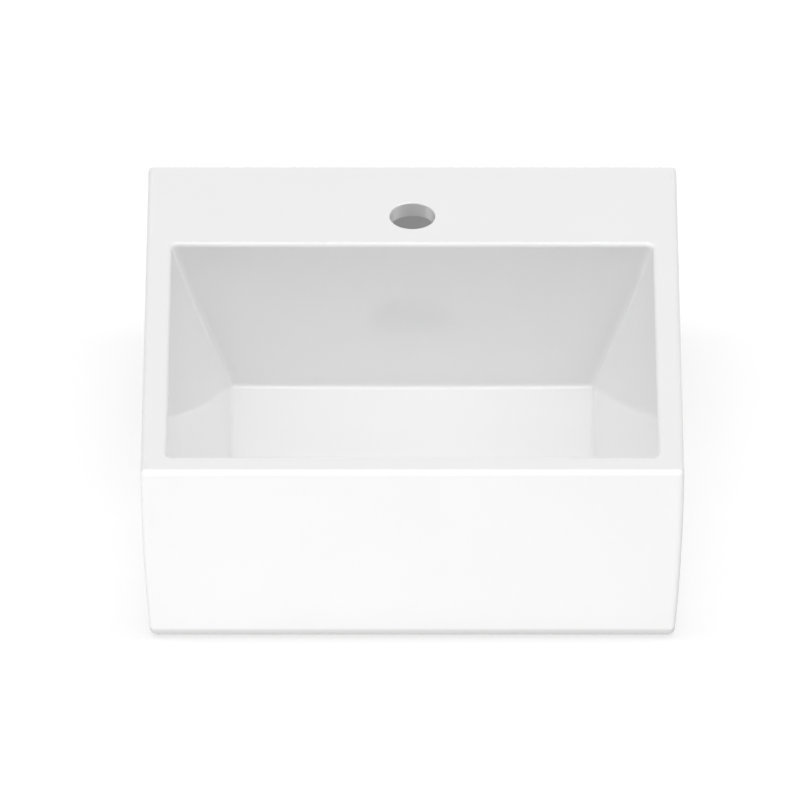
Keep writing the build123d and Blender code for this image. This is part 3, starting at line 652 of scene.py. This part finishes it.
def bright_zinc():
    """Zinc plate on steel: a bluish grey metal with cloudy patches and a soft gloss."""
    zinc, tree, shader = finish("bright_zinc", 1, 0.3)
    patchy(tree, shader, 150, (0.72, 0.73, 0.75), (0.58, 0.59, 0.58), 4)
    uneven(tree, shader, 500, 0.22, 0.42, 3)
    embossed(tree, shader, clouds(tree, 1200), 0.000004)
    return zinc


zinc = bright_zinc()
cup = solid("click_cartridge", [knurled_cup()], brass)
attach(cup, "basin")
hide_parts("cartridge_cup")
dress("cartridge_lid", brass)
dress("plunger", brass)
dress("ratchet_ring", moulded_acetal())
dress("cartridge_spring", drawn_wire())
dress("plug_stem", zinc)


# The plug: a brass disc, domed, polished and chrome plated, on a stem that screws into the plunger. A
# moulded rubber seal under it closes on the conical mouth of the waste.
PLUG_RADIUS, DOME_TOP, DOME_FALL = 20.3, 2.2, 1.2
DOME_REACH = 19.6
PLUG_FOOT, SEAL_LOW, LIP_FOOT, STEM_BOSS_FOOT, STEM_HOLE_TOP = -1, -4, -5, -9.5, -1.5


def turned_solid(placed, radius, height, turns):
    """A solid of rows of radii round the axis. Its first and last row lie on the axis, at one point each."""
    points = placed(radius, height, full_turn(turns))
    rows = len(points) - 2
    index = 1 + np.arange(rows * turns).reshape(rows, turns)
    beside = np.roll(index, -1, axis=1)
    last = np.full(turns, 1 + rows * turns)
    first_fan = np.stack([0 * last, index[0], beside[0]], axis=-1).tolist()
    last_fan = np.stack([index[-1], last, beside[-1]], axis=-1).tolist()
    middle = (1 + ring_faces(rows, turns, False)).reshape(-1, 4).tolist()
    points = np.vstack([points[0, :1], points[1:-1].reshape(-1, 3), points[-1, :1]])
    return points, first_fan + middle + last_fan


def plug_outline():
    """The plug's outline from the axis to the axis: a dome that falls by 1.2 mm as the square of the radius,
    a rounded edge, and below it the step for the seal, its lip and the boss with the stem's hole."""
    reach = np.linspace(0, DOME_REACH, 15)
    dome = np.stack([reach, DOME_TOP - DOME_FALL * (reach / PLUG_RADIUS) ** 2], axis=-1)
    rest = eased([
        (DOME_REACH, 1.081, 0), (PLUG_RADIUS, 0.9, 0.35), (PLUG_RADIUS, PLUG_FOOT, 0.4),
        (14, PLUG_FOOT, 0.1), (14, SEAL_LOW, 0.1), (15, SEAL_LOW, 0.2), (15, LIP_FOOT, 0.3),
        (6, LIP_FOOT, 0.4), (6, STEM_BOSS_FOOT, 0.3), (3.05, STEM_BOSS_FOOT, 0.2),
        (3.05, STEM_HOLE_TOP, 0.1), (0, STEM_HOLE_TOP, 0),
    ], closed=False)
    return np.vstack([dome, rest[1:]])


plug_line = plug_outline()
plug = solid("domed_plug", [turned_solid(waste_place, plug_line[:, :1], plug_line[:, 1:], 96)], chrome)
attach(plug, "plug")
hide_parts("plug_cap")
plug_seal_outline = eased([(14.05, PLUG_FOOT, 0.1), (20, PLUG_FOOT, 0.3), (20, -2.45, 0.5),
                           (17.55, SEAL_LOW, 0.4), (14.05, SEAL_LOW, 0.1)])
plug_rubber = solid("plug_rubber", [turned_ring(waste_place, plug_seal_outline)], rubber)
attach(plug_rubber, "plug")
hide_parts("plug_seal")


# The wall fixings: two zinc-plated steel studs screwed into the wall, with a machine thread in front. A
# nylon sleeve with a flange keeps each off the china, under a steel washer and nut. Heights are from the
# wall's face, and those in front of it are below 0.
STUD_X, STUD_Z = 0.1, -0.042
STUD_POINT, STUD_END = 60, -32
SHANK = 4.515
CORE, RIDGE, WALL_PITCH = 3.7, 1.3, 4
MACHINE_PITCH, MACHINE_HALF_DEPTH = 1.5, 0.46
SLEEVE_END, WEB_FACE, SLEEVE_FACE, WASHER_FACE, NUT_FACE = -1, -12, -16, -18, -26
SLEEVE_BORE, STUD_NUT_FLATS, STUD_NUT_BORE = 5.3, 17, 4.565


def wall_stud(placed):
    """A stud from its point in the wall to its front end, as rows of radii round the axis.

    In the wall a ridge climbs 4 mm a turn over a core that runs to a point. It is 1.3 mm high, as the square
    of a cosine over half of the pitch. In front a cosine wave climbs 1.5 mm a turn.
    """
    turns = 40
    angle = full_turn(turns)
    deep = np.linspace(STUD_POINT, 0.5, 300)[1:, None]
    core = np.interp(deep, [0, 1.5, 51, STUD_POINT], [SHANK, CORE, CORE, 0.05])
    high = np.interp(deep, [0.5, 4, 50, 59], [0, RIDGE, RIDGE, 0.1])
    share = np.abs(np.mod(deep / WALL_PITCH - angle / (2 * np.pi), 1) - 0.5)
    ridge = high * np.cos(np.pi * np.minimum(2 * share, 0.5)) ** 2
    front = np.linspace(0, STUD_END + 1, 212)[:, None]
    fade = np.interp(front, [STUD_END + 1, STUD_END + 2.5, -1.5, 0], [0, 1, 1, 0])
    wave = MACHINE_HALF_DEPTH * fade * np.cos(2 * np.pi * front / MACHINE_PITCH - angle)
    on_axis = 0 * angle
    radius = np.vstack([on_axis, core + ridge, SHANK + wave, on_axis + 4.1, on_axis + 3.6, on_axis])
    height = np.vstack([[[STUD_POINT]], deep, front, [[STUD_END + 0.3], [STUD_END], [STUD_END]]])
    return turned_solid(placed, radius, height, turns)


both_sides = [round_axis((side * STUD_X, 0, STUD_Z), (0, 1, 0), (1, 0, 0)) for side in (-1, 1)]
studs = solid("threaded_studs", [wall_stud(placed) for placed in both_sides], zinc, 62)
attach(studs, "basin")
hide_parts("wall_studs")
sleeve_outline = eased([(SLEEVE_BORE, SLEEVE_END, 0.3), (9.5, SLEEVE_END, 0.8), (9.7, WEB_FACE, 0),
                        (17, WEB_FACE, 0.4), (17, SLEEVE_FACE, 0.8), (SLEEVE_BORE, SLEEVE_FACE, 0.4)])
sleeves = solid("nylon_sleeves", [turned_ring(placed, sleeve_outline, 64) for placed in both_sides], nylon)
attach(sleeves, "basin")
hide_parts("stud_sleeves")
washer_outline = eased([(SLEEVE_BORE, SLEEVE_FACE, 0.1), (14, SLEEVE_FACE, 0.1), (14, WASHER_FACE, 0.5),
                        (SLEEVE_BORE, WASHER_FACE, 0.4)])
washers = solid("steel_washers", [turned_ring(placed, washer_outline, 64) for placed in both_sides], zinc)
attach(washers, "basin")
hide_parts("stud_washers")
nut_sizes = (STUD_NUT_FLATS, WASHER_FACE, NUT_FACE, STUD_NUT_BORE, 0.25)
nuts = solid("steel_nuts", [hexagon_nut(placed, *nut_sizes) for placed in both_sides], zinc)
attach(nuts, "basin")
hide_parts("stud_nuts")


# The picture is shown plainly, with no look of a film over it.
view = bpy.context.scene.view_settings
view.view_transform = "Standard"
